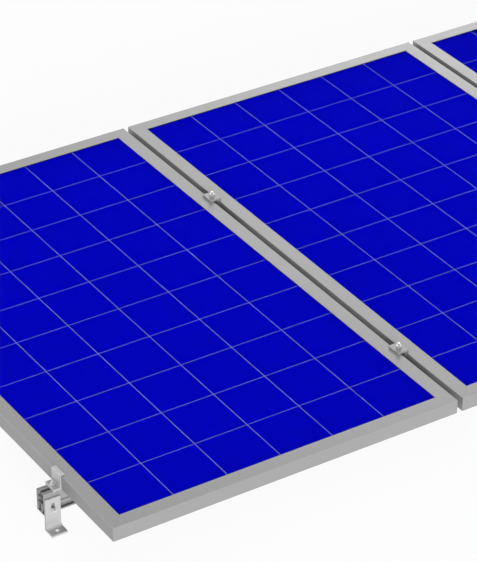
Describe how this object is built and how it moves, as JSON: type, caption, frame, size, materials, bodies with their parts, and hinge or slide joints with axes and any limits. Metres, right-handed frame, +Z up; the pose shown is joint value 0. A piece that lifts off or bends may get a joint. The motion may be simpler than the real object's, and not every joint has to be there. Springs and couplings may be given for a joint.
{
  "type": "solar flush mount rack",
  "caption": "Framed solar panels clamped flat side by side on aluminium rails that stand on bolted L feet.",
  "frame": {"origin": "middle of the array on the roof's surface, under the feet", "axes": "+X along the rails to the right, +Y from the near edge of the panels to the far edge, +Z up from the roof"},
  "size_m": [3.106, 1.65, 0.164],
  "materials": {
    "rail_aluminium": "anodised, mill lines along the rail",
    "foot_aluminium": "anodised, matt",
    "clamp_aluminium": "anodised, matt",
    "frame_aluminium": "anodised, matt grey",
    "key_aluminium": "as extruded",
    "panel_glass": "clear low iron glass",
    "solar_cells": "deep blue, smooth",
    "backsheet": "pale film",
    "junction_plastic": "black moulded plastic",
    "stainless_steel": "plain stainless"
  },
  "bodies": {
    "root": {"clamp_nuts": "stainless_steel", "end_clamp_t_bolts": "stainless_steel", "foot_nuts": "stainless_steel", "foot_t_bolts": "stainless_steel", "frame_corner_keys": "key_aluminium", "front_foot_1": "foot_aluminium", "front_foot_2": "foot_aluminium", "front_foot_3": "foot_aluminium", "front_left_end_clamp": "clamp_aluminium", "front_mid_clamp_1": "clamp_aluminium", "front_mid_clamp_2": "clamp_aluminium", "front_rail": "rail_aluminium", "front_right_end_clamp": "clamp_aluminium", "left_panel_backsheet": "backsheet", "left_panel_cells": "solar_cells", "left_panel_front_frame": "frame_aluminium", "left_panel_glass": "panel_glass", "left_panel_junction_box": "junction_plastic", "left_panel_junction_cover": "junction_plastic", "left_panel_left_frame": "frame_aluminium", "left_panel_rear_frame": "frame_aluminium", "left_panel_right_frame": "frame_aluminium", "mid_clamp_t_bolts": "stainless_steel", "middle_panel_backsheet": "backsheet", "middle_panel_cells": "solar_cells", "middle_panel_front_frame": "frame_aluminium", "middle_panel_glass": "panel_glass", "middle_panel_junction_box": "junction_plastic", "middle_panel_junction_cover": "junction_plastic", "middle_panel_left_frame": "frame_aluminium", "middle_panel_rear_frame": "frame_aluminium", "middle_panel_right_frame": "frame_aluminium", "rear_foot_1": "foot_aluminium", "rear_foot_2": "foot_aluminium", "rear_foot_3": "foot_aluminium", "rear_left_end_clamp": "clamp_aluminium", "rear_mid_clamp_1": "clamp_aluminium", "rear_mid_clamp_2": "clamp_aluminium", "rear_rail": "rail_aluminium", "rear_right_end_clamp": "clamp_aluminium", "right_panel_backsheet": "backsheet", "right_panel_cells": "solar_cells", "right_panel_front_frame": "frame_aluminium", "right_panel_glass": "panel_glass", "right_panel_junction_box": "junction_plastic", "right_panel_junction_cover": "junction_plastic", "right_panel_left_frame": "frame_aluminium", "right_panel_rear_frame": "frame_aluminium", "right_panel_right_frame": "frame_aluminium"}
  },
  "joints": []
}
